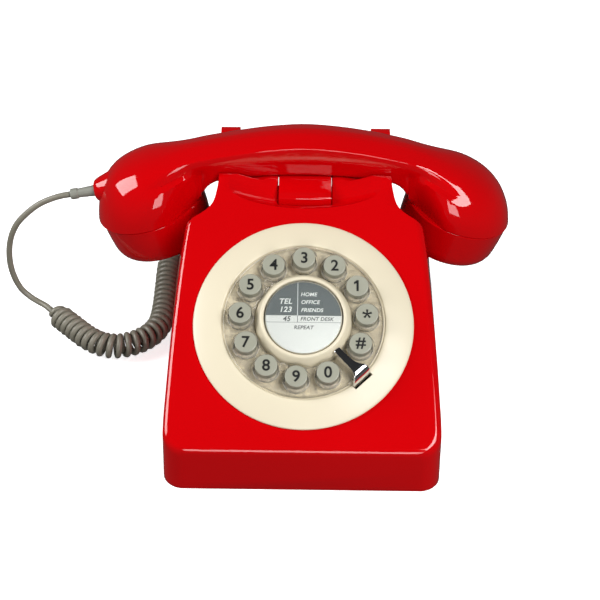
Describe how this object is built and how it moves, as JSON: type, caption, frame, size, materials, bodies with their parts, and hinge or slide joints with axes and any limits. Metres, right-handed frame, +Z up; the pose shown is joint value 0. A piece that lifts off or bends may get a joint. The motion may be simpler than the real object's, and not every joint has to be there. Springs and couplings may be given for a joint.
{
  "type": "telephone",
  "caption": "Red push-button desk telephone styled as a rotary set, with a ring of round keys, chrome finger stop, handset on its cradle and curly cord.",
  "frame": {"origin": "on the table under the middle of the set, at the bottom of the rubber feet", "axes": "+Z up, +X to the right across the handset, -Y out of the front with the dial"},
  "size_m": [0.2944, 0.2154, 0.1302],
  "materials": {
    "red_case": "glossy moulded",
    "red_handset": "glossy moulded",
    "cream": "satin moulded",
    "clear": "clear moulded",
    "key_grey": "satin moulded",
    "card": "printed card",
    "chrome_stop": "polished",
    "black_plastic": "satin moulded",
    "foot_rubber": "matt",
    "zinc_steel": "plated",
    "board": "coated fibreglass",
    "membrane": "matt",
    "copper": "enamelled wire",
    "gong_brass": "polished",
    "lever_white": "moulded",
    "capsule": "drawn",
    "cord_grey": "satin",
    "boot_grey": "satin",
    "plug_clear": "clear moulded"
  },
  "bodies": {
    "base": {"case_shell": "red_case", "base_plate": "black_plastic", "rubber_feet": "foot_rubber", "base_screws": "zinc_steel", "ballast_plate": "zinc_steel", "dial_bezel": "cream", "clear_dial_disc": "clear", "hub_ring": "cream", "finger_stop": "chrome_stop", "key_membrane": "membrane", "key_board": "board", "key_board_screws": "zinc_steel", "main_board": "board", "board_parts": "black_plastic", "line_socket": "black_plastic", "handset_socket": "black_plastic", "hook_bracket": "zinc_steel", "hook_pin": "zinc_steel", "hook_switch": "black_plastic", "ringer_frame": "zinc_steel", "ringer_coil": "copper", "gong_left": "gong_brass", "gong_right": "gong_brass", "gong_screws": "zinc_steel", "clapper_pin": "zinc_steel", "ringer_switch": "black_plastic", "cord_lead": "cord_grey", "cord_coil": "cord_grey", "cord_tail": "cord_grey", "cord_plug": "plug_clear"},
    "handset": {"handset_shell": "red_handset", "mouth_cap": "red_handset", "ear_cap": "red_handset", "microphone_capsule": "black_plastic", "receiver_capsule": "capsule", "handset_weight": "zinc_steel", "cord_boot": "boot_grey"},
    "hook_bar": {"hook_plunger": "red_case", "hook_spring": "zinc_steel"},
    "hook_lever_arm": {"hook_lever": "lever_white"},
    "redial_button": {"redial_plate": "cream", "number_card": "card", "card_lens": "clear"},
    "clapper_arm": {"clapper": "zinc_steel"},
    "ringer_knob": {"ringer_slider": "red_case"},
    "key_1_button": {"key_1": "key_grey"},
    "key_2_button": {"key_2": "key_grey"},
    "key_3_button": {"key_3": "key_grey"},
    "key_4_button": {"key_4": "key_grey"},
    "key_5_button": {"key_5": "key_grey"},
    "key_6_button": {"key_6": "key_grey"},
    "key_7_button": {"key_7": "key_grey"},
    "key_8_button": {"key_8": "key_grey"},
    "key_9_button": {"key_9": "key_grey"},
    "key_0_button": {"key_0": "key_grey"},
    "key_star_button": {"key_star": "key_grey"},
    "key_hash_button": {"key_hash": "key_grey"}
  },
  "joints": [
    {"name": "handset_lift", "type": "slide", "parent": "base", "child": "handset", "axis": [0, 0, 1], "range_m": [0, 0.15]},
    {"name": "hook_bar_slide", "type": "slide", "parent": "base", "child": "hook_bar", "axis": [0, 0, 1], "range_m": [0, 0.0045], "deforming": ["hook_spring"]},
    {"name": "hook_lever_turn", "type": "hinge", "parent": "base", "child": "hook_lever_arm", "pos_m": [0.009, 0.057, 0.074], "axis": [-1, 0, 0], "range_deg": [0, 15]},
    {"name": "redial_press", "type": "slide", "parent": "base", "child": "redial_button", "axis": [0, 0.5075, -0.8616], "range_m": [0, 0.0015], "stiffness_N_per_m": 500, "springref_m": -0.0006},
    {"name": "clapper_swing", "type": "hinge", "parent": "base", "child": "clapper_arm", "pos_m": [0, 0.0086, 0.021], "axis": [0, 0, 1], "range_deg": [-9, 9]},
    {"name": "ringer_knob_slide", "type": "slide", "parent": "base", "child": "ringer_knob", "axis": [1, 0, 0], "range_m": [-0.003, 0.003]},
    {"name": "key_1_press", "type": "slide", "parent": "base", "child": "key_1_button", "axis": [0, 0.5075, -0.8616], "range_m": [0, 0.0018], "stiffness_N_per_m": 400, "springref_m": -0.0005},
    {"name": "key_2_press", "type": "slide", "parent": "base", "child": "key_2_button", "axis": [0, 0.5075, -0.8616], "range_m": [0, 0.0018], "stiffness_N_per_m": 400, "springref_m": -0.0005},
    {"name": "key_3_press", "type": "slide", "parent": "base", "child": "key_3_button", "axis": [0, 0.5075, -0.8616], "range_m": [0, 0.0018], "stiffness_N_per_m": 400, "springref_m": -0.0005},
    {"name": "key_4_press", "type": "slide", "parent": "base", "child": "key_4_button", "axis": [0, 0.5075, -0.8616], "range_m": [0, 0.0018], "stiffness_N_per_m": 400, "springref_m": -0.0005},
    {"name": "key_5_press", "type": "slide", "parent": "base", "child": "key_5_button", "axis": [0, 0.5075, -0.8616], "range_m": [0, 0.0018], "stiffness_N_per_m": 400, "springref_m": -0.0005},
    {"name": "key_6_press", "type": "slide", "parent": "base", "child": "key_6_button", "axis": [0, 0.5075, -0.8616], "range_m": [0, 0.0018], "stiffness_N_per_m": 400, "springref_m": -0.0005},
    {"name": "key_7_press", "type": "slide", "parent": "base", "child": "key_7_button", "axis": [0, 0.5075, -0.8616], "range_m": [0, 0.0018], "stiffness_N_per_m": 400, "springref_m": -0.0005},
    {"name": "key_8_press", "type": "slide", "parent": "base", "child": "key_8_button", "axis": [0, 0.5075, -0.8616], "range_m": [0, 0.0018], "stiffness_N_per_m": 400, "springref_m": -0.0005},
    {"name": "key_9_press", "type": "slide", "parent": "base", "child": "key_9_button", "axis": [0, 0.5075, -0.8616], "range_m": [0, 0.0018], "stiffness_N_per_m": 400, "springref_m": -0.0005},
    {"name": "key_0_press", "type": "slide", "parent": "base", "child": "key_0_button", "axis": [0, 0.5075, -0.8616], "range_m": [0, 0.0018], "stiffness_N_per_m": 400, "springref_m": -0.0005},
    {"name": "key_star_press", "type": "slide", "parent": "base", "child": "key_star_button", "axis": [0, 0.5075, -0.8616], "range_m": [0, 0.0018], "stiffness_N_per_m": 400, "springref_m": -0.0005},
    {"name": "key_hash_press", "type": "slide", "parent": "base", "child": "key_hash_button", "axis": [0, 0.5075, -0.8616], "range_m": [0, 0.0018], "stiffness_N_per_m": 400, "springref_m": -0.0005}
  ],
  "couplings": [
    {"joint": "hook_bar_slide", "follows": "handset_lift", "ratio": 0.03},
    {"joint": "hook_lever_turn", "follows": "handset_lift", "rad_per_m": 1.745}
  ]
}
